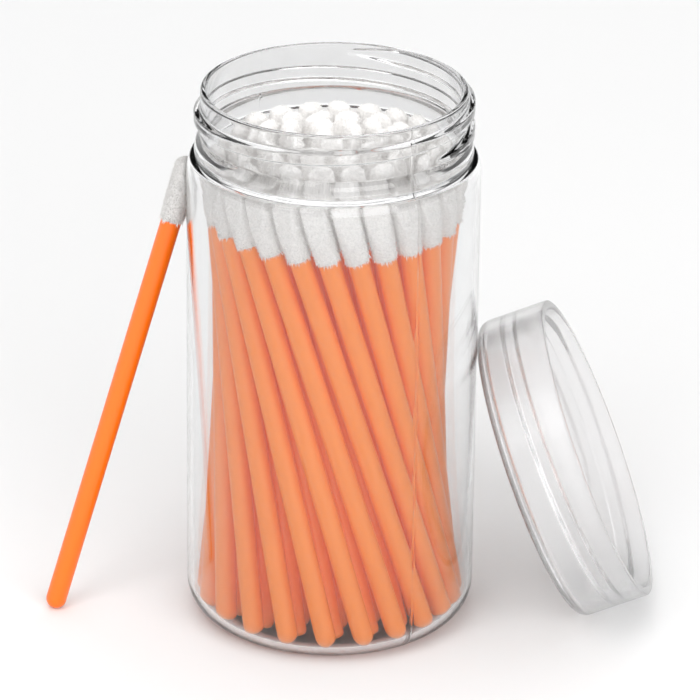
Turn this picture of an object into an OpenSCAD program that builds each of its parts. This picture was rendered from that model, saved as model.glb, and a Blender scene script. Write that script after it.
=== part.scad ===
// Pack of disposable lip wands: a clear screw jar full of flocked wands, with its cap
// taken off and leaning on its right, and one loose wand leaning on its left.
// Millimetres, +Z up, -Y toward the viewer, origin at the centre of the jar's base.

/* [Jar] */
// Outer diameter of the body
body_d = 54; // [50:0.5:60]
// Thickness of the side wall
wall = 1.1; // [0.8:0.1:1.5]
// Thickness of the floor
floor_t = 1.3; // [1:0.1:2]
// Radius of the rounded edge under the body
base_edge_r = 6.5; // [5:0.5:8]
// Height of the rim above the top of an upright wand in the jar
headroom = 10.4; // [10:0.1:14]
// Height of the neck, from the ledge under its bead to the rim
neck_h = 13; // [12.5:0.1:15]
// How far the neck stands in from the side of the body
neck_inset = 2.55; // [2.3:0.05:3]
// How far the bead under the neck stands out from it
bead_out = 1.15; // [0.8:0.05:1.3]
// Radius that rounds the shoulder into the body
shoulder_r = 6; // [5:0.5:8]

/* [Screw thread] */
// How far the thread stands out from the neck
thread_out = 1.2; // [0.8:0.1:1.4]
// Rise of the thread in one turn
thread_pitch = 4.5; // [4:0.1:5]
// Turns of the thread, with its tapered ends
thread_turns = 1.35; // [1.1:0.05:1.45]
// Width of the thread at its root
thread_w = 3.2; // [2.4:0.1:3.4]

/* [Cap] */
// How far the cap stands out past the side of the jar's body
cap_over = 2.3; // [1.8:0.1:3]
// Height of the cap
cap_h = 13.6; // [12:0.2:16]
// Thickness of the cap's wall and end
cap_wall = 1.6; // [1.2:0.1:1.8]
// Radius of the rounded corner round the closed end
cap_corner_r = 2; // [1.8:0.1:2.5]
// Rise of the cap's axis above level, where the cap leans
cap_lean = 22.6; // [18:0.2:28]
// Place of the cap round the jar, seen from above
cap_place = 5.5; // [0:0.5:12]
// Turn of the cap's axis from straight out of the jar
cap_yaw = -7.9; // [-10:0.1:0]

/* [Wands] */
// Length of a wand with its tip
wand_len = 92.7; // [88:0.1:98]
// Diameter of the stick
stick_d = 3.85; // [3.4:0.05:3.9]
// Length of the flocked tip
tip_len = 12.6; // [11:0.1:14]
// Width of the flocked tip
tip_w = 4.9; // [4.6:0.1:5]
// Distance from the stick's axis to the flat back of the tip
tip_back = 2; // [1.9:0.05:2.2]
// Thickness of the flocking
flock_t = 0.45; // [0.3:0.05:0.5]
// Slope of the tip's slanted face from the stick's axis
face_slant = 17; // [15:0.5:19]

/* [Bundle] */
// Distance between one ring of wands and the next
ring_step = 4.95; // [4.95:0.05:5.1]
// Room that each wand has along its ring
ring_pitch = 5.6; // [5.5:0.05:6]
// Twist of the bundle from floor to tips
twist_mean = 60; // [50:1:61]
// How much more the front right of the bundle twists
twist_swing = 13; // [6:1:14]
// How far single wands stray round their ring, in degrees on the outer ring
stray = 0.15; // [0:0.05:0.2]
// How far the slanted faces turn from straight outward or inward
face_stray = 20; // [0:5:25]
// Choice of the stray places
stray_seed = 7; // [1:1:40]

/* [Loose wand] */
// Distance from the side of the jar to the foot of the wand
loose_foot_out = 24.7; // [20:0.1:30]
// How far the foot stands in front of the jar's axis
loose_foot_front = 3.3; // [0:0.1:6]
// Direction in which the wand leans, from straight to the right
loose_lean_to = 17.6; // [10:0.2:20]

/* [Hidden] */
$fn = 64;
// Clearance between pieces that rest on each other
seat = 0.03;
// Overlap that joins the parts of one piece
bond = 0.4;

body_r = body_d / 2;
inner_r = body_r - wall;
neck_r = body_r - neck_inset;
bore_r = neck_r - wall;
bead_r = neck_r + bead_out;
crest_r = neck_r + thread_out;
jar_h = floor_t + wand_len + headroom;
ledge_z = jar_h - neck_h;
shoulder_z = ledge_z - 2.8;
bead_gap = 0.4;
bead_z = ledge_z + 1.2;
bead_curve_r = 5.3;
groove_r = neck_r + 0.9;
lip_r = 0.4;
thread_z = jar_h - 1.8;
thread_start = 85;
thread_crest_w = thread_w * 0.5;
inner_edge_r = base_edge_r - wall;
inner_shoulder_r = shoulder_r - 1.8;
inner_shoulder_z = shoulder_z - 0.2;

cap_r = body_r + cap_over;
cap_bore_r = cap_r - cap_wall;
cap_crest_r = (neck_r + crest_r) / 2;
cap_inner_corner_r = 0.9;
cap_thread_z = cap_wall + 1.6;
cap_thread_start = 150;
cap_thread_turns = 1.3;

stick_r = stick_d / 2;
tip_r = tip_w / 2;
grip_len = wand_len - stick_r - tip_len;
axis_len = wand_len - stick_r;
tip_base_r = tip_r - 0.25;
swell = tip_len * 0.35;
dome_r = tip_r + 0.6;
face_from = 3;
face_out = tip_r - 0.2;

outer_top_r = inner_r - tip_r - 0.65;
outer_foot_r = inner_r - stick_r - 0.68;
twist_peak = -100;
ring_turns = [0, 7, 3, 16, 20];
ring_n = [for (k = [0 : len(ring_turns) - 1]) floor(2 * PI * (outer_top_r - k * ring_step) / ring_pitch)];
inner_rings = [for (k = [1 : len(ring_turns) - 1]) k];

// Height of a stick's foot centre above the table, at a distance r from the jar's axis
function foot_z(r) =
    let (edge = body_r - base_edge_r, a = stick_r + seat)
    r <= edge ? floor_t + a
              : floor_t + inner_edge_r - sqrt((inner_edge_r - a) ^ 2 - (r - edge) ^ 2);

// Seeded strays of a ring: three numbers from -1 to 1 for each wand
function strays(k) = rands(-1, 1, 3 * ring_n[k], stray_seed + k);

// One wand of ring k: [foot, top, direction of the slanted face]
function wand_place(k, i) =
    let (
        r_top = outer_top_r - k * ring_step,
        r_foot = outer_foot_r - k * ring_step,
        s = strays(k),
        wander = stray * outer_top_r / r_top,
        a_top = ring_turns[k] + 360 * i / ring_n[k] + wander * s[3 * i],
        a_foot = a_top + twist_mean + twist_swing * cos(a_top - twist_peak) + wander * s[3 * i + 1],
        across = [r_top * cos(a_top) - r_foot * cos(a_foot), r_top * sin(a_top) - r_foot * sin(a_foot)],
        z = foot_z(r_foot),
        inward = k > 0 && i % 3 == 0,
        face = a_top + (inward ? 180 : 0) + face_stray * s[3 * i + 2]
    )
    [
        [r_foot * cos(a_foot), r_foot * sin(a_foot), z],
        [r_top * cos(a_top), r_top * sin(a_top), z + sqrt(axis_len ^ 2 - across * across)],
        face
    ];

// The loose wand: its lean is such that the slanted face of its tip meets the jar
loose_foot = [-(body_r + loose_foot_out), -loose_foot_front, stick_r];
loose_dir = [cos(loose_lean_to), sin(loose_lean_to)];
loose_reach = body_r + face_out + seat;
loose_along = loose_foot[0] * loose_dir[0] + loose_foot[1] * loose_dir[1];
loose_far = loose_foot[0] ^ 2 + loose_foot[1] ^ 2 - loose_reach ^ 2;
loose_travel = -loose_along - sqrt(loose_along ^ 2 - loose_far);
loose_lean = asin(loose_travel / (grip_len + face_from));
loose_top = loose_foot + axis_len * [
    sin(loose_lean) * loose_dir[0], sin(loose_lean) * loose_dir[1], cos(loose_lean)];
loose_face = -8;

// The cap: it stands on the edge of its closed end and leans on the jar with the same edge
cap_edge_r = cap_r - cap_corner_r;
cap_lift = cap_edge_r * cos(cap_lean) + cap_corner_r * (1 - sin(cap_lean));
function cap_edge_far(x, a) =
    let (
        up = cap_edge_r * cos(a),
        side = cap_edge_r * sin(a),
        out = cap_corner_r * cos(cap_lean) - up * sin(cap_lean)
    )
    norm([x + out * cos(cap_yaw) - side * sin(cap_yaw), out * sin(cap_yaw) + side * cos(cap_yaw)]);
function cap_clear(x) = min([for (a = [-40 : 1 : 40]) cap_edge_far(x, a)]) - body_r - cap_corner_r;
function cap_seated(x, n) = n == 0 ? x : cap_seated(x + seat - cap_clear(x), n - 1);
cap_x = cap_seated(body_r + cap_edge_r * sin(cap_lean), 6);

outer_ids = [for (i = [0 : ring_n[0] - 1]) str(i < 9 ? "0" : "", i + 1)];
function stick_name(i) = str("outer_stick_", outer_ids[i]);
function tip_name(i) = str("outer_tip_", outer_ids[i]);

// Fills the half-outline of a round shape between two heights
module band(r, low, high) {
    translate([0, low]) square([r, high - low]);
}

module jar_outside() {
    edge = body_r - base_edge_r;
    band(body_r, base_edge_r, shoulder_z);
    band(edge, 0, base_edge_r);
    translate([edge, base_edge_r]) circle(base_edge_r);
    intersection() {
        translate([body_r - shoulder_r, shoulder_z]) circle(shoulder_r);
        band(body_r, shoulder_z - 1, ledge_z);
    }
    band(body_r - shoulder_r, shoulder_z - 1, ledge_z);
    band(groove_r, ledge_z - 1, bead_z);
    intersection() {
        translate([bead_r - bead_curve_r, bead_z]) circle(bead_curve_r);
        band(bead_r, ledge_z + bead_gap, jar_h - 4);
    }
    band(neck_r, ledge_z - 1, jar_h - lip_r);
    band(neck_r - lip_r, ledge_z, jar_h);
    translate([neck_r - lip_r, jar_h - lip_r]) circle(lip_r);
}

module jar_inside() {
    edge = body_r - base_edge_r;
    edge_z = floor_t + inner_edge_r;
    shoulder_x = inner_r - inner_shoulder_r;
    band(inner_r, edge_z, inner_shoulder_z);
    band(edge, floor_t, edge_z + 1);
    translate([edge, edge_z]) circle(inner_edge_r);
    band(shoulder_x, inner_shoulder_z - 1, jar_h);
    translate([shoulder_x, inner_shoulder_z]) circle(inner_shoulder_r);
    band(bore_r, inner_shoulder_z, jar_h + 1);
}

// One raised thread that runs clockwise and down from an angle, with tapered ends.
// A crest smaller than the root gives a thread inside a cap.
module thread(root_r, crest_r, top_z, from, turns) {
    step = 6;
    taper = 24;
    span = 360 * turns;
    n = round(span / step);
    side = sign(crest_r - root_r);
    rings = [for (i = [0 : n])
        let (
            t = i * step,
            a = from - t,
            z = top_z - thread_pitch * t / 360,
            fade = min(1, (t + 2) / taper, (n * step - t + 2) / taper),
            root = root_r - side * bond,
            crest = root_r + (crest_r - root_r) * fade,
            half = side * thread_w / 2 * (0.4 + 0.6 * fade),
            half_crest = side * thread_crest_w / 2 * fade
        )
        for (p = [[root, -half], [root, half], [crest, half_crest], [crest, -half_crest]])
            [p[0] * cos(a), p[0] * sin(a), z + p[1]]
    ];
    sides = [for (i = [0 : n - 1], j = [0 : 3])
        let (k = (j + 1) % 4, near = 4 * i, far = 4 * i + 4)
        for (f = [[far + j, near + j, near + k], [far + j, near + k, far + k]]) f
    ];
    polyhedron(rings, concat([[3, 2, 1, 0]], sides, [[for (j = [0 : 3]) 4 * n + j]]));
}

module jar() {
    color("gainsboro", 0.35) {
        rotate_extrude() difference() {
            jar_outside();
            jar_inside();
        }
        thread(neck_r, crest_r, thread_z, thread_start, thread_turns);
    }
}

module cap_outside() {
    band(cap_r, cap_corner_r, cap_h);
    band(cap_edge_r, 0, cap_corner_r);
    translate([cap_edge_r, cap_corner_r]) circle(cap_corner_r);
}

module cap_inside() {
    corner_x = cap_bore_r - cap_inner_corner_r;
    corner_z = cap_wall + cap_inner_corner_r;
    band(cap_bore_r, corner_z, cap_h + 1);
    band(corner_x, cap_wall, corner_z);
    translate([corner_x, corner_z]) circle(cap_inner_corner_r);
}

module cap() {
    thread_top = cap_thread_z + thread_w / 2 + thread_pitch * cap_thread_turns;
    color("gainsboro", 0.45)
    rotate(cap_place) translate([cap_x, 0, cap_lift]) rotate([0, 90 - cap_lean, cap_yaw]) {
        rotate_extrude() difference() {
            cap_outside();
            cap_inside();
        }
        thread(cap_bore_r, cap_crest_r, thread_top, cap_thread_start, cap_thread_turns);
    }
}

// The slanted tip, with its base on the end of the grip: it swells a little, ends in a
// dome, is flat at the back and cut to a slope at the front. A negative grow gives what
// is inside.
module tip_form(grow) {
    difference() {
        intersection() {
            union() {
                cylinder(h = swell, r1 = tip_base_r + grow, r2 = tip_r + grow);
                translate([0, 0, swell]) cylinder(h = tip_len, r = tip_r + grow);
            }
            translate([0, 0, tip_len - dome_r]) union() {
                sphere(dome_r + grow);
                translate([0, 0, -tip_len]) cylinder(h = tip_len, r = dome_r + grow);
            }
        }
        translate([face_out, 0, face_from]) rotate([0, -face_slant, 0])
            translate([grow, -tip_w, -tip_len]) cube([tip_w, 2 * tip_w, 3 * tip_len]);
        translate([-tip_back - grow - tip_w, -tip_w, -1]) cube([tip_w, 2 * tip_w, tip_len + 2]);
    }
}

module stick() {
    color("darkorange") {
        sphere(stick_r);
        cylinder(h = grip_len, r = stick_r);
        translate([0, 0, grip_len]) tip_form(-flock_t);
    }
}

module flocking() {
    color("white") translate([0, 0, grip_len]) difference() {
        tip_form(0);
        tip_form(-flock_t);
    }
}

// Stands a wand on its foot, leans its axis toward the top and turns its slanted face
module lean(place) {
    along = place[1] - place[0];
    to = atan2(along[1], along[0]);
    translate(place[0]) rotate([0, acos(along[2] / norm(along)), to])
        rotate(place[2] - to) children();
}

module outer_stick(i) { lean(wand_place(0, i)) stick(); }
module outer_tip(i) { lean(wand_place(0, i)) flocking(); }
module inner_sticks() { for (k = inner_rings, i = [0 : ring_n[k] - 1]) lean(wand_place(k, i)) stick(); }
module inner_tips() { for (k = inner_rings, i = [0 : ring_n[k] - 1]) lean(wand_place(k, i)) flocking(); }
module loose_stick() { lean([loose_foot, loose_top, loose_face]) stick(); }
module loose_tip() { lean([loose_foot, loose_top, loose_face]) flocking(); }

jar();
cap();
loose_stick();
loose_tip();
inner_sticks();
inner_tips();
for (i = [0 : ring_n[0] - 1]) outer_stick(i);
for (i = [0 : ring_n[0] - 1]) outer_tip(i);
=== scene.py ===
import math

import bmesh
import bpy
import numpy as np
from mathutils import Matrix, Vector


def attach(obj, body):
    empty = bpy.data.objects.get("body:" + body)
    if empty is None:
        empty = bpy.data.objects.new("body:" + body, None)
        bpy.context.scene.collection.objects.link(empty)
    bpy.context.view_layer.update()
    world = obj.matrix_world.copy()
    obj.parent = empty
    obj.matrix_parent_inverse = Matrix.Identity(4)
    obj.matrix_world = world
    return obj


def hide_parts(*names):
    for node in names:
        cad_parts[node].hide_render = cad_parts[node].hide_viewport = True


# The pack of disposable lip wands: a clear screw jar full of flocked wands, its cap and one
# loose wand.
MM = 0.001

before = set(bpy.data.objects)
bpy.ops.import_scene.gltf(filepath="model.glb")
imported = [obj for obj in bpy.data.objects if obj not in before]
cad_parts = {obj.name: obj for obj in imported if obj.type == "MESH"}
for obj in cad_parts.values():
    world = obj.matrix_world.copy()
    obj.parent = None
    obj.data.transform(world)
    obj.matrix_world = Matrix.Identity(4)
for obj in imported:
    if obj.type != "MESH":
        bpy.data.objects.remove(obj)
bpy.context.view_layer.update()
bpy.ops.object.select_all(action="DESELECT")

# Jar
BODY_R, WALL, FLOOR_T, JAR_H = 27.0, 1.1, 1.3, 104.4
BASE_EDGE_R, SHOULDER_R, SHOULDER_Z, LEDGE_Z = 6.5, 6.0, 88.6, 91.4
NECK_R, GROOVE_R, BEAD_R, BEAD_Z, BEAD_CURVE_R, BEAD_GAP = 24.45, 25.35, 25.6, 92.6, 5.3, 0.4
BORE_R, LIP_R, BORE_EDGE_R = 23.35, 0.4, 0.25
INNER_EDGE_R, INNER_SHOULDER_R, INNER_SHOULDER_Z = 5.4, 4.2, 88.4
# Screw thread
THREAD_W, THREAD_OUT, THREAD_PITCH, THREAD_TAPER = 3.2, 1.2, 4.5, 24.0
THREAD_Z, THREAD_START, THREAD_TURNS = 102.6, 85.0, 1.35
# Cap
CAP_R, CAP_BORE_R, CAP_H, CAP_WALL, CAP_BRIM_R = 29.3, 27.7, 13.6, 1.6, 0.25
CAP_CORNER_R, CAP_INNER_CORNER_R = 2.0, 0.9
CAP_THREAD_IN, CAP_THREAD_Z, CAP_THREAD_START, CAP_THREAD_TURNS = 1.5, 10.65, 150.0, 1.3
CAP_PLACE, CAP_YAW, CAP_LEAN, CAP_X, CAP_LIFT = 5.5, -7.9, 22.6, 37.8982, 26.435
# Wands
WAND_LEN, STICK_R, TIP_LEN, TIP_R, TIP_BACK = 92.7, 1.925, 12.6, 2.45, 2.45
TIP_BASE_R, TIP_SWELL, DOME_R = 2.2, 4.41, 3.05
FACE_SLANT, FACE_FROM, FACE_OUT = 17.5, 4.4, 2.35
LOOSE_SLANT, LOOSE_FROM = 17.0, 3.0
GRIP_LEN = WAND_LEN - STICK_R - TIP_LEN
AXIS_LEN = WAND_LEN - STICK_R
SEAT = 0.03
OUTER_TOP_R, OUTER_FOOT_R, RING_STEP = 22.8, 23.295, 4.95
LOOSE_FOOT, LOOSE_TOP, LOOSE_FACE = (-51.7, -3.3, 1.925), (-26.3376, 4.74542, 88.7128), -8.0
# The wands in the jar, ring by ring: the angle of the top and of the foot round the jar, and
# the direction of the slanted face, in degrees
RINGS = (
    (
        (-0.08, 57.62, 19), (14.39, 68.96, 5), (28.68, 80.53, 9), (43.21, 92.91, 36),
        (57.57, 105.60, 64), (72.06, 119.14, 89), (86.33, 133.48, 77), (100.91, 148.66, 113),
        (115.33, 164.71, 111), (129.56, 181.03, 114), (144.00, 198.33, 162),
        (158.35, 215.66, 156), (172.94, 233.51, 159), (187.07, 250.91, 179),
        (201.53, 268.46, 199), (215.98, 285.47, 228), (230.35, 301.59, 231),
        (244.84, 317.43, 235), (259.17, 332.22, 257), (273.69, 346.37, 283),
        (288.00, 359.61, 274), (302.44, 372.06, 317), (316.69, 383.82, 323),
        (331.25, 395.53, 333), (345.46, 406.37, 357),
    ),
    (
        (6.81, 62.95, 182), (25.12, 77.61, 30), (43.10, 92.67, 58), (61.16, 108.72, 249),
        (78.96, 126.09, 60), (96.94, 144.50, 112), (114.83, 164.07, 287), (133.07, 185.18, 120),
        (150.98, 206.75, 169), (169.00, 228.85, 334), (186.94, 250.64, 190),
        (205.06, 272.45, 191), (222.85, 293.28, 25), (240.99, 313.34, 227),
        (259.07, 331.89, 275), (276.89, 349.36, 87), (294.88, 365.49, 294),
        (312.90, 380.88, 327), (331.08, 395.28, 153), (349.05, 409.26, 359),
    ),
    (
        (2.93, 60.02, 163), (28.62, 80.25, 44), (54.24, 102.34, 50), (80.14, 127.04, 255),
        (105.98, 154.54, 114), (131.38, 183.07, 149), (157.31, 214.69, 342),
        (183.03, 246.04, 194), (208.65, 276.94, 193), (234.21, 305.68, 54),
        (259.99, 333.21, 279), (285.95, 357.68, 298), (311.33, 379.50, 114),
        (337.11, 399.97, 341),
    ),
    (
        (15.83, 70.16, 194), (61.29, 109.05, 42), (106.18, 154.31, 97), (150.70, 206.56, 343),
        (195.86, 261.87, 184), (240.60, 313.18, 250), (286.04, 357.40, 103),
        (331.24, 395.49, 319),
    ),
    (
        (19.02, 73.09, 187), (140.97, 193.76, 130), (260.90, 334.65, 245),
    ),
)

# How finely the clear pieces are cut: steps round, and rows under the threads
SEGMENTS = 320
NECK_ROW, CAP_ROW = 0.1, 0.15
THREAD_SMOOTH = 80.0

# Flocking: the fibres that stand all over a tip, and the frayed fringe at its lower end
FLOCK_INSET, FLOCK_VOXEL, FLOCK_SMOOTH = 0.15, 0.35, 5
FIBRE_LEN, FIBRE_W, FIBRE_STRAY, FIBRE_SINK = 0.55, 0.1, 0.38, 0.06
FRINGE, FRINGE_LEN, FRINGE_W = 150, 1.15, 0.24
TIP_KINDS = 4
TIP_FIBRES = 5000
# The loose wand is seen close up, so its flocking is finer
LOOSE_FIBRES, LOOSE_FINENESS = 22000, 0.6
# The flocking reaches higher toward the middle of the bundle, ring by ring
TIP_STRETCH = (1.0, 1.06, 1.13, 1.17, 1.17)

# Finishes, in metres where they are lengths
# The neck's grey is partly the thicker plastic and partly painted shade for the dark surroundings
# the walls reflect
BODY_TINT, NECK_GREY_AND_SHADE = (0.935, 0.938, 0.94, 1), (0.845, 0.847, 0.851, 1)
NECK_GREY_AND_SHADE_FROM, NECK_GREY_AND_SHADE_TO = 0.0895, 0.0925
PARTING_ANGLE, PARTING_W, PARTING_H = -55.0, 0.00028, 0.00006
CAP_TINT = (0.965, 0.962, 0.965, 1)
# The loose wand's stick colour is a darker copy of the jar's orange: painted shade
JAR_STICK, LOOSE_STICK_SHADED = (1.0, 0.27, 0.03), (0.9, 0.156, 0.003)
# Painted glow: the stick and flock in the jar give off a little light of their own, though they are
# no lamps
JAR_STICK_PAINTED_GLOW, JAR_FLOCK_PAINTED_GLOW = 0.08, 0.04
FLOCK_GRAIN, FLOCK_GRAIN_H = 2600.0, 0.0003
FLOCK_WARMTH, FLOCK_PAINTED_GLOW_TINT = (1.0, 0.985, 0.97), (1.0, 0.98, 0.96)

# Studio
FLOOR_TONE, FLAG_TONE = (0.85, 0.85, 0.85), (0.01, 0.01, 0.01)
SIDE_FLAG, BACK_FLAG = (0.5, 0.9), (1.2, 0.5)
SKY = 1.48


def name_active(name):
    """Names the piece that was just added."""
    obj = bpy.context.active_object
    obj.name = name
    obj.data.name = name
    return obj


def arc(cx, cy, r, start, end, n):
    """Points on an arc in the (radius, height) plane, angles in degrees."""
    return [(cx + r * math.cos(math.radians(start + (end - start) * i / n)),
             cy + r * math.sin(math.radians(start + (end - start) * i / n))) for i in range(n + 1)]


def line(a, b, step):
    """Evenly spaced points from a to b, ends left out."""
    n = max(1, round(math.dist(a, b) / step))
    return [(a[0] + (b[0] - a[0]) * i / n, a[1] + (b[1] - a[1]) * i / n) for i in range(1, n)]


def lathe(name, profile, segments):
    """Spins a profile of (radius, height) points round Z. Its two ends lie on the axis."""
    bpy.ops.object.select_all(action="DESELECT")
    bpy.ops.mesh.primitive_circle_add(vertices=3, radius=1, fill_type="NOTHING")
    obj = name_active(name)
    bm = bmesh.new()
    verts = [bm.verts.new((r, 0.0, z)) for r, z in profile]
    for a, b in zip(verts, verts[1:]):
        bm.edges.new((a, b))
    bm.to_mesh(obj.data)
    bm.free()
    bpy.ops.object.mode_set(mode="EDIT")
    bpy.ops.mesh.select_all(action="SELECT")
    bpy.ops.mesh.spin(steps=segments, angle=math.tau, center=(0, 0, 0), axis=(0, 0, 1))
    bpy.ops.mesh.select_all(action="SELECT")
    bpy.ops.mesh.remove_doubles(threshold=0.0005)
    bpy.ops.mesh.dissolve_degenerate(threshold=0.0005)
    bpy.ops.mesh.normals_make_consistent(inside=False)
    bpy.ops.object.mode_set(mode="OBJECT")
    return obj


def coords(obj):
    co = np.empty(len(obj.data.vertices) * 3, dtype=np.float32)
    obj.data.vertices.foreach_get("co", co)
    return co.reshape(-1, 3).astype(np.float64)


def set_coords(obj, co):
    obj.data.vertices.foreach_set("co", co.astype(np.float32).ravel())
    obj.data.update()


def thread_height(co, top_z, start, turns):
    """How high the thread stands at each point, from 0 on the wall to 1 on the crest."""
    angle = np.degrees(np.arctan2(co[:, 1], co[:, 0]))
    span = 360.0 * turns
    best = np.zeros(len(co))
    for turn in range(int(turns) + 1):
        t = np.mod(start - angle, 360.0) + 360.0 * turn
        fade = np.clip(np.minimum(t + 2, span - t + 2) / THREAD_TAPER, 0, 1)
        root = THREAD_W / 2 * (0.4 + 0.6 * fade)
        crest = THREAD_W / 4 * fade
        off = np.abs(co[:, 2] - (top_z - THREAD_PITCH * t / 360.0))
        slope = np.clip((root - off) / (root - crest), 0, 1)
        slope = slope * slope * (3 - 2 * slope)
        best = np.maximum(best, np.where(t <= span, fade * slope, 0))
    return best


def finish(obj, angle=35.0, place=None):
    """Puts a piece that was made in millimetres where it belongs, in metres."""
    matrix = Matrix.Scale(MM, 4) @ (place if place is not None else Matrix.Identity(4))
    obj.data.transform(matrix)
    bpy.ops.object.select_all(action="DESELECT")
    obj.select_set(True)
    bpy.context.view_layer.objects.active = obj
    bpy.ops.object.shade_smooth_by_angle(angle=math.radians(angle))
    obj.select_set(False)
    return obj


def jar_profile():
    edge = BODY_R - BASE_EDGE_R
    ledge = math.sqrt(SHOULDER_R ** 2 - (LEDGE_Z - SHOULDER_Z) ** 2)
    bead_low = math.degrees(math.asin((LEDGE_Z + BEAD_GAP - BEAD_Z) / BEAD_CURVE_R))
    bead_top = math.degrees(math.acos((NECK_R - BEAD_R + BEAD_CURVE_R) / BEAD_CURVE_R))
    neck_low = BEAD_Z + BEAD_CURVE_R * math.sin(math.radians(bead_top))
    shoulder_x = BODY_R - WALL - INNER_SHOULDER_R
    bore_angle = math.degrees(math.acos((BORE_R - shoulder_x) / INNER_SHOULDER_R))
    bore_low = INNER_SHOULDER_Z + INNER_SHOULDER_R * math.sin(math.radians(bore_angle))
    inner_r = BODY_R - WALL
    outside = [(0.0, 0.0)] + line((0, 0), (edge, 0), 4)
    outside += arc(edge, BASE_EDGE_R, BASE_EDGE_R, -90, 0, 18)
    outside += line((BODY_R, BASE_EDGE_R), (BODY_R, SHOULDER_Z), 2)
    outside += arc(BODY_R - SHOULDER_R, SHOULDER_Z, SHOULDER_R, 0,
                   math.degrees(math.asin((LEDGE_Z - SHOULDER_Z) / SHOULDER_R)), 8)
    outside += [(BODY_R - SHOULDER_R + ledge - 0.25, LEDGE_Z + 0.02), (GROOVE_R, LEDGE_Z + 0.05)]
    outside += arc(BEAD_R - BEAD_CURVE_R, BEAD_Z, BEAD_CURVE_R, bead_low, bead_top, 14)
    outside += line((NECK_R, neck_low), (NECK_R, JAR_H - LIP_R), NECK_ROW)
    outside += arc(NECK_R - LIP_R, JAR_H - LIP_R, LIP_R, 0, 90, 5)
    inside = arc(BORE_R + BORE_EDGE_R, JAR_H - BORE_EDGE_R, BORE_EDGE_R, 90, 180, 4)
    inside += line((BORE_R, JAR_H - BORE_EDGE_R), (BORE_R, bore_low), 1)
    inside += arc(shoulder_x, INNER_SHOULDER_Z, INNER_SHOULDER_R, bore_angle, 0, 10)
    inside += line((inner_r, INNER_SHOULDER_Z), (inner_r, FLOOR_T + INNER_EDGE_R), 2)
    inside += arc(edge, FLOOR_T + INNER_EDGE_R, INNER_EDGE_R, 0, -90, 16)
    inside += line((edge, FLOOR_T), (0, FLOOR_T), 4) + [(0.0, FLOOR_T)]
    return outside + inside


def make_jar():
    obj = lathe("jar_clear_body", jar_profile(), SEGMENTS)
    co = coords(obj)
    r = np.hypot(co[:, 0], co[:, 1])
    on_neck = (r > NECK_R - 0.02) & (co[:, 2] > BEAD_Z) & (co[:, 2] < JAR_H - LIP_R + 0.01)
    high = thread_height(co, THREAD_Z, THREAD_START, THREAD_TURNS) * THREAD_OUT
    new_r = np.where(on_neck, np.maximum(r, NECK_R + high), r)
    scale = np.where(r > 1e-6, new_r / np.maximum(r, 1e-6), 1.0)
    co[:, 0] *= scale
    co[:, 1] *= scale
    set_coords(obj, co)
    return finish(obj, angle=THREAD_SMOOTH)


def cap_profile():
    edge = CAP_R - CAP_CORNER_R
    corner_x, corner_z = CAP_BORE_R - CAP_INNER_CORNER_R, CAP_WALL + CAP_INNER_CORNER_R
    brim = CAP_BRIM_R
    outside = [(0.0, 0.0)] + line((0, 0), (edge, 0), 4)
    outside += arc(edge, CAP_CORNER_R, CAP_CORNER_R, -90, 0, 10)
    outside += line((CAP_R, CAP_CORNER_R), (CAP_R, CAP_H - brim), 1.5)
    outside += arc(CAP_R - brim, CAP_H - brim, brim, 0, 90, 3)
    inside = arc(CAP_BORE_R + brim, CAP_H - brim, brim, 90, 180, 3)
    inside += line((CAP_BORE_R, CAP_H - brim), (CAP_BORE_R, corner_z), CAP_ROW)
    inside += arc(corner_x, corner_z, CAP_INNER_CORNER_R, 0, -90, 5)
    inside += line((corner_x, CAP_WALL), (0, CAP_WALL), 4) + [(0.0, CAP_WALL)]
    return outside + inside


def cap_matrix():
    def turn(angle, axis):
        return Matrix.Rotation(math.radians(angle), 4, axis)
    return (turn(CAP_PLACE, "Z") @ Matrix.Translation((CAP_X, 0, CAP_LIFT))
            @ turn(CAP_YAW, "Z") @ turn(90 - CAP_LEAN, "Y"))


def make_cap():
    obj = lathe("cap_clear", cap_profile(), SEGMENTS)
    co = coords(obj)
    r = np.hypot(co[:, 0], co[:, 1])
    on_bore = ((np.abs(r - CAP_BORE_R) < 0.02) & (co[:, 2] > CAP_WALL + CAP_INNER_CORNER_R - 0.01)
               & (co[:, 2] < CAP_H - 0.2))
    deep = thread_height(co, CAP_THREAD_Z, CAP_THREAD_START, CAP_THREAD_TURNS) * CAP_THREAD_IN
    new_r = np.where(on_bore, CAP_BORE_R - deep, r)
    scale = np.where(r > 1e-6, new_r / np.maximum(r, 1e-6), 1.0)
    co[:, 0] *= scale
    co[:, 1] *= scale
    set_coords(obj, co)
    return finish(obj, angle=THREAD_SMOOTH, place=cap_matrix())


# Wands

def foot_z(r):
    edge, a = BODY_R - BASE_EDGE_R, STICK_R + SEAT
    if r <= edge:
        return FLOOR_T + a
    return FLOOR_T + INNER_EDGE_R - math.sqrt((INNER_EDGE_R - a) ** 2 - (r - edge) ** 2)


def lean(foot, top, face):
    """The matrix that stands a wand on its foot and leans it toward its top."""
    along = Vector(top) - Vector(foot)
    to = math.atan2(along.y, along.x)
    tilt = math.acos(along.z / along.length)
    return (Matrix.Translation(foot) @ Matrix.Rotation(to, 4, "Z") @ Matrix.Rotation(tilt, 4, "Y")
            @ Matrix.Rotation(math.radians(face) - to, 4, "Z"))


def wand_matrices():
    """The place of every wand in the jar, ring by ring."""
    rings = []
    for k, ring in enumerate(RINGS):
        r_top, r_foot = OUTER_TOP_R - k * RING_STEP, OUTER_FOOT_R - k * RING_STEP
        z = foot_z(r_foot)
        places = []
        for a_top, a_foot, face in ring:
            a_top, a_foot = math.radians(a_top), math.radians(a_foot)
            top = [r_top * math.cos(a_top), r_top * math.sin(a_top)]
            foot = [r_foot * math.cos(a_foot), r_foot * math.sin(a_foot)]
            rise = math.sqrt(AXIS_LEN ** 2 - math.dist(top, foot) ** 2)
            places.append(lean((*foot, z), (*top, z + rise), face))
        rings.append(places)
    return rings


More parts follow.
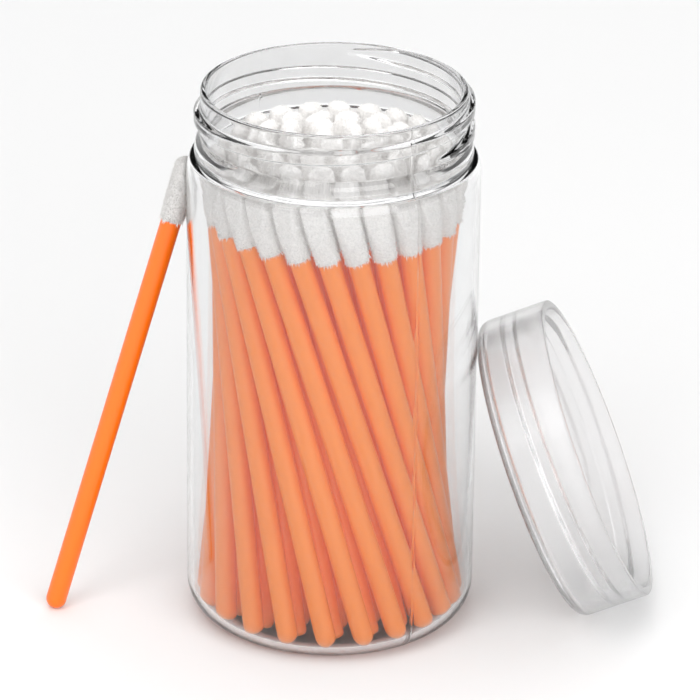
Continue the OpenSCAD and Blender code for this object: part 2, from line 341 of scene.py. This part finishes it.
def make_tip_form(slant, face_from):
    """The flocked tip's body: a spun form, cut to its slope and its flat back, then softened."""
    a = -FLOCK_INSET
    dome_z = TIP_LEN - DOME_R
    r_top = TIP_R + a
    dome_start = math.degrees(math.acos(r_top / (DOME_R + a)))
    profile = [(0.0, 0.0), (TIP_BASE_R + a, 0.0), (r_top, TIP_SWELL)]
    profile += arc(0, dome_z, DOME_R + a, dome_start, 90, 8)[:-1] + [(0.0, dome_z + DOME_R + a)]
    obj = lathe("tip_form", profile, 40)
    bpy.context.view_layer.objects.active = obj
    bpy.ops.object.mode_set(mode="EDIT")
    slope = math.radians(slant)
    normal = (math.cos(slope), 0.0, math.sin(slope))
    start = (FACE_OUT + a * math.cos(slope), 0.0, face_from + a * math.sin(slope))
    for point, out in ((start, normal), ((-TIP_BACK - a, 0, 0), (-1.0, 0.0, 0.0))):
        bpy.ops.mesh.select_all(action="SELECT")
        bpy.ops.mesh.bisect(plane_co=point, plane_no=out, use_fill=True, clear_outer=True)
    bpy.ops.mesh.select_all(action="SELECT")
    bpy.ops.mesh.normals_make_consistent(inside=False)
    bpy.ops.object.mode_set(mode="OBJECT")
    mod = obj.modifiers.new("Remesh", "REMESH")
    mod.mode = "VOXEL"
    mod.voxel_size = FLOCK_VOXEL
    bpy.ops.object.modifier_apply(modifier=mod.name)
    mod = obj.modifiers.new("Soften", "SMOOTH")
    mod.factor = 0.5
    mod.iterations = FLOCK_SMOOTH
    bpy.ops.object.modifier_apply(modifier=mod.name)
    return obj


def triangles(obj):
    mesh = obj.data
    mesh.calc_loop_triangles()
    tri = np.empty(len(mesh.loop_triangles) * 3, dtype=np.int32)
    mesh.loop_triangles.foreach_get("vertices", tri)
    return coords(obj), tri.reshape(-1, 3)


def fibres(co, tri, count, seed, fineness=1.0):
    """Fine blades that stand all over a surface: points and triangles."""
    rng = np.random.default_rng(seed)
    a, b, c = co[tri[:, 0]], co[tri[:, 1]], co[tri[:, 2]]
    normal = np.cross(b - a, c - a)
    area = np.linalg.norm(normal, axis=1)
    normal /= np.maximum(area[:, None], 1e-12)
    pick = rng.choice(len(tri), size=count, p=area / area.sum())
    u, v = rng.random(count), rng.random(count)
    flip = u + v > 1
    u[flip], v[flip] = 1 - u[flip], 1 - v[flip]
    root = a[pick] + u[:, None] * (b - a)[pick] + v[:, None] * (c - a)[pick]
    out = normal[pick] + rng.normal(0, FIBRE_STRAY, (count, 3))
    out /= np.linalg.norm(out, axis=1)[:, None]
    length = FIBRE_LEN * rng.uniform(0.45, 1.0, count)
    wide = FIBRE_W * fineness * rng.uniform(0.7, 1.2, count)
    # the frayed lower end hangs over the stick
    angle = rng.uniform(0, math.tau, FRINGE)
    round_out = np.stack([np.cos(angle), np.sin(angle), np.zeros(FRINGE)], axis=1)
    fringe_root = round_out * rng.uniform(1.9, TIP_BASE_R, FRINGE)[:, None]
    fringe_root[:, 2] = rng.uniform(0.1, 0.9, FRINGE)
    fringe_out = round_out * rng.uniform(0.05, 0.5, FRINGE)[:, None]
    fringe_out += rng.normal(0, 0.15, (FRINGE, 3))
    fringe_out[:, 2] = -1
    fringe_out /= np.linalg.norm(fringe_out, axis=1)[:, None]
    root, out = np.concatenate([root, fringe_root]), np.concatenate([out, fringe_out])
    length = np.append(length, FRINGE_LEN * rng.uniform(0.4, 1.0, FRINGE))[:, None]
    wide = np.append(wide, FRINGE_W * rng.uniform(0.6, 1.1, FRINGE))[:, None]
    count += FRINGE
    side = np.cross(out, rng.normal(0, 1, (count, 3)))
    side /= np.maximum(np.linalg.norm(side, axis=1)[:, None], 1e-9)
    base = root - out * FIBRE_SINK
    points = np.stack([base - side * wide / 2, base + side * wide / 2, base + out * length], axis=1)
    faces = np.arange(count * 3).reshape(-1, 3)
    return points.reshape(-1, 3), faces


def joined(name, parts):
    """One mesh object from lists of points and triangles."""
    bpy.ops.object.select_all(action="DESELECT")
    bpy.ops.mesh.primitive_plane_add()
    obj = name_active(name)
    points, faces, start = [], [], 0
    for co, tri in parts:
        points.append(co)
        faces.append(tri + start)
        start += len(co)
    mesh = bpy.data.meshes.new(name)
    mesh.from_pydata(np.concatenate(points).tolist(), [], np.concatenate(faces).tolist())
    obj.data = mesh
    obj.data.name = name
    return obj


def moved(part, matrix):
    m = np.array(matrix)
    co, tri = part
    return co @ m[:3, :3].T + m[:3, 3], tri


def make_tips(places):
    """The flocked tips: a master form and a few coats of fibres, copied to every wand."""
    forms = []
    for slant, face_from in ((FACE_SLANT, FACE_FROM), (LOOSE_SLANT, LOOSE_FROM)):
        form = make_tip_form(slant, face_from)
        forms.append(triangles(form))
        bpy.data.objects.remove(form)
    form_part, loose_part = forms
    coats = [fibres(*form_part, TIP_FIBRES, 11 + k) for k in range(TIP_KINDS)]
    loose_coat = fibres(*loose_part, LOOSE_FIBRES, 21, LOOSE_FINENESS)
    lift = Matrix.Translation((0, 0, GRIP_LEN))
    made = []
    for n, (name, nodes, spots) in enumerate(places):
        parts = []
        for i, (spot, stretch) in enumerate(spots):
            m = spot @ lift @ Matrix.Scale(stretch, 4, (0, 0, 1))
            kind = (form_part, coats[(i + n) % TIP_KINDS])
            body, coat = (loose_part, loose_coat) if name == "loose_wand_tip" else kind
            parts += [moved(body, m), moved(coat, m)]
        obj = finish(joined(name, parts), angle=60)
        made.append((obj, nodes))
    return made


# Materials

def principled(name, **values):
    mat = bpy.data.materials.new(name)
    mat.use_nodes = True
    shader = mat.node_tree.nodes["Principled BSDF"]
    for key, value in values.items():
        shader.inputs[key.replace("_", " ")].default_value = value
    return mat, shader


def link(tree, a, out, b, inp):
    tree.links.new(a.outputs[out], b.inputs[inp])


def ramp_node(tree, start, end, low, high):
    """Turns a value between start and end into one between low and high."""
    ramp = tree.nodes.new("ShaderNodeMapRange")
    for key, value in (("From Min", start), ("From Max", end), ("To Min", low), ("To Max", high)):
        ramp.inputs[key].default_value = value
    return ramp


def noise_node(tree, scale, detail):
    where = tree.nodes.new("ShaderNodeTexCoord")
    noise = tree.nodes.new("ShaderNodeTexNoise")
    noise.inputs["Scale"].default_value = scale
    noise.inputs["Detail"].default_value = detail
    link(tree, where, "Object", noise, "Vector")
    return noise


def bump_node(tree, height, out, strength, distance, shader):
    bump = tree.nodes.new("ShaderNodeBump")
    bump.inputs["Strength"].default_value = strength
    bump.inputs["Distance"].default_value = distance
    link(tree, height, out, bump, "Height")
    link(tree, bump, "Normal", shader, "Normal")


def add_parting_line(tree, shader):
    """A fine raised line down both sides of the jar, where the halves of the mould met."""
    where = tree.nodes.new("ShaderNodeTexCoord")
    dot = tree.nodes.new("ShaderNodeVectorMath")
    dot.operation = "DOT_PRODUCT"
    turn = math.radians(PARTING_ANGLE)
    dot.inputs[1].default_value = (math.sin(turn), -math.cos(turn), 0)
    off = tree.nodes.new("ShaderNodeMath")
    off.operation = "ABSOLUTE"
    high = ramp_node(tree, 0.0, PARTING_W, 1.0, 0.0)
    high.interpolation_type = "SMOOTHSTEP"
    link(tree, where, "Object", dot, 0)
    link(tree, dot, "Value", off, 0)
    link(tree, off, "Value", high, "Value")
    bump_node(tree, high, "Result", 0.5, PARTING_H, shader)


def add_neck_grey_and_shade(tree, shader):
    """The neck is thicker than the blown body, so its plastic is a little greyer; the grey is
    deepened as painted shade for the dark surroundings that the walls reflect.
    """
    where = tree.nodes.new("ShaderNodeTexCoord")
    split = tree.nodes.new("ShaderNodeSeparateXYZ")
    high = ramp_node(tree, NECK_GREY_AND_SHADE_FROM, NECK_GREY_AND_SHADE_TO, 0.0, 1.0)
    tint = tree.nodes.new("ShaderNodeMix")
    tint.data_type = "RGBA"
    tint.inputs["A"].default_value = BODY_TINT
    tint.inputs["B"].default_value = NECK_GREY_AND_SHADE
    link(tree, where, "Object", split, "Vector")
    link(tree, split, "Z", high, "Value")
    tree.links.new(high.outputs["Result"], tint.inputs["Factor"])
    tree.links.new(tint.outputs[2], shader.inputs["Base Color"])


def make_materials():
    clear, shader = principled("clear_jar", Roughness=0.015, IOR=1.5, Transmission_Weight=1.0)
    add_neck_grey_and_shade(clear.node_tree, shader)
    add_parting_line(clear.node_tree, shader)
    cap, shader = principled("clear_cap", Base_Color=CAP_TINT, Roughness=0.2, IOR=1.4,
                             Transmission_Weight=0.9)
    # The jar's stick and flock carry a painted glow; the loose wand's stick and flock are darker
    # copies of them, painted shade, with no glow
    return {"jar_clear": clear, "cap_clear": cap,
            "stick": make_stick("orange_stick", JAR_STICK, JAR_STICK_PAINTED_GLOW),
            "loose_stick": make_stick("orange_stick_loose_shaded", LOOSE_STICK_SHADED, 0.0),
            "flock": make_flock("white_flock", 0.84, 0.96, JAR_FLOCK_PAINTED_GLOW),
            "loose_flock_shaded": make_flock("white_flock_loose_shaded", 0.68, 0.8, 0.0)}


def set_painted_glow(shader, color, strength):
    """A painted glow: the piece gives off light of its own, though it is no lamp, in place of the
    light that a translucent piece in the jar passes on to its neighbours.
    """
    shader.inputs["Emission Color"].default_value = (*color, 1)
    shader.inputs["Emission Strength"].default_value = strength


def make_stick(name, color, painted_glow):
    mat, shader = principled(name, Base_Color=(*color, 1), Roughness=0.3, IOR=1.5)
    # painted glow: the stick gives off a little light of its own
    set_painted_glow(shader, color, painted_glow)
    return mat


def make_flock(name, dark, pale, painted_glow):
    mat, shader = principled(name, Roughness=0.95, Sheen_Weight=0.2)
    shader.inputs["Specular IOR Level"].default_value = 0.15
    set_painted_glow(shader, FLOCK_PAINTED_GLOW_TINT, painted_glow)
    tree = mat.node_tree
    grain = noise_node(tree, FLOCK_GRAIN, 2.0)
    tint = ramp_node(tree, 0.3, 0.62, dark, pale)
    link(tree, grain, "Fac", tint, "Value")
    warm = tree.nodes.new("ShaderNodeVectorMath")
    warm.operation = "SCALE"
    warm.inputs[0].default_value = FLOCK_WARMTH
    link(tree, tint, "Result", warm, "Scale")
    link(tree, warm, "Vector", shader, "Base Color")
    bump_node(tree, grain, "Fac", 0.35, FLOCK_GRAIN_H, shader)
    return mat


def dress(obj, mat):
    obj.data.materials.clear()
    obj.data.materials.append(mat)


materials = make_materials()
rings = wand_matrices()
loose = lean(LOOSE_FOOT, LOOSE_TOP, LOOSE_FACE)

jar = make_jar()
dress(jar, materials["jar_clear"])
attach(jar, "root")
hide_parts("jar")

cap = make_cap()
dress(cap, materials["cap_clear"])
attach(cap, "root")
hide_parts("cap")

outer = [(spot, TIP_STRETCH[0]) for spot in rings[0]]
inner = [(spot, stretch) for ring, stretch in zip(rings[1:], TIP_STRETCH[1:]) for spot in ring]
tip_places = [("outer_tips_a", ["outer_tip_%02d" % (i + 1) for i in range(0, 13)], outer[:13]),
              ("outer_tips_b", ["outer_tip_%02d" % (i + 1) for i in range(13, 25)], outer[13:]),
              ("loose_wand_tip", ["loose_tip"], [(loose, 1.0)])]
thirds = [inner[0:15], inner[15:30], inner[30:45]]
for letter, spots in zip("abc", thirds):
    tip_places.append(("inner_tips_" + letter, ["inner_tips"], spots))
for obj, nodes in make_tips(tip_places):
    # The loose wand's tip takes the darker copy of the flock: painted shade
    dress(obj, materials["loose_flock_shaded" if nodes == ["loose_tip"] else "flock"])
    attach(obj, "root")
    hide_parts(*nodes)

# The loose wand's stick takes the darker copy of the orange: painted shade
for name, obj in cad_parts.items():
    if "stick" in name:
        for s in obj.material_slots:
            s.material = materials["loose_stick" if name == "loose_stick" else "stick"]


# Panels, lights and camera

def panel(name, size, location, rotation, color, seen=True):
    bpy.ops.object.select_all(action="DESELECT")
    bpy.ops.mesh.primitive_plane_add(size=1, location=location, rotation=rotation)
    obj = name_active(name)
    obj.scale = (size[0], size[1], 1)
    bpy.ops.object.transform_apply(location=True, rotation=True, scale=True)
    mat, shader = principled(name, Base_Color=(*color, 1), Roughness=0.9)
    dress(obj, mat)
    obj.visible_camera = seen
    return obj


def light(name, size, location, target, power):
    data = bpy.data.lights.new(name, "AREA")
    data.shape = "RECTANGLE"
    data.size, data.size_y = size
    data.energy = power
    obj = bpy.data.objects.new(name, data)
    bpy.context.collection.objects.link(obj)
    obj.location = location
    obj.rotation_euler = (Vector(target) - Vector(location)).to_track_quat("-Z", "Y").to_euler()


def camera():
    distance, pitch, roll = 0.9, math.radians(24.027), math.radians(0.601)
    pan, tilt = 0.003376, 0.002198
    forward = Vector((0, math.cos(pitch), -math.sin(pitch)))
    right = Vector((1, 0, 0))
    up = right.cross(forward)
    x = right * math.cos(roll) + up * math.sin(roll)
    y = -right * math.sin(roll) + up * math.cos(roll)
    location = Vector((0, 0, 0.05)) - forward * distance
    aim = Vector((0, 0, 0.05)) + x * pan + y * tilt
    ahead = (aim - location).normalized()
    x = (x - ahead * x.dot(ahead)).normalized()
    y = x.cross(ahead)
    data = bpy.data.cameras.new("camera")
    data.lens, data.sensor_width = 248.8, 36.0
    data.clip_start, data.clip_end = 0.05, 20.0
    obj = bpy.data.objects.new("camera", data)
    bpy.context.collection.objects.link(obj)
    obj.matrix_world = Matrix((
        (x.x, y.x, -ahead.x, location.x), (x.y, y.y, -ahead.y, location.y),
        (x.z, y.z, -ahead.z, location.z), (0, 0, 0, 1)))
    bpy.context.scene.camera = obj


panel("floor", (8.0, 8.0), (0, 0, 0), (0, 0, 0), FLOOR_TONE)
# Dark panels beside and behind the piece, out of the camera's sight, draw the clear edges dark
for side, x in (("left", -0.42), ("right", 0.42)):
    panel("flag_" + side, SIDE_FLAG, (x, 0.10, 0.45), (0, math.pi / 2, 0), FLAG_TONE, seen=False)
panel("flag_back", BACK_FLAG, (0, 0.95, 0.55), (math.pi / 2, 0, 0), FLAG_TONE, seen=False)
light("key", (0.8, 0.8), (-0.55, -0.75, 1.1), (0, 0, 0.05), 5.0)
light("front", (1.2, 0.4), (0.5, -1.1, 0.6), (0, 0, 0.05), 5.6)
camera()

world = bpy.data.worlds.new("studio")
bpy.context.scene.world = world
world.use_nodes = True
sky = world.node_tree.nodes["Background"]
sky.inputs["Color"].default_value = (1, 1, 1, 1)
sky.inputs["Strength"].default_value = SKY
bpy.context.scene.view_settings.view_transform = "Standard"
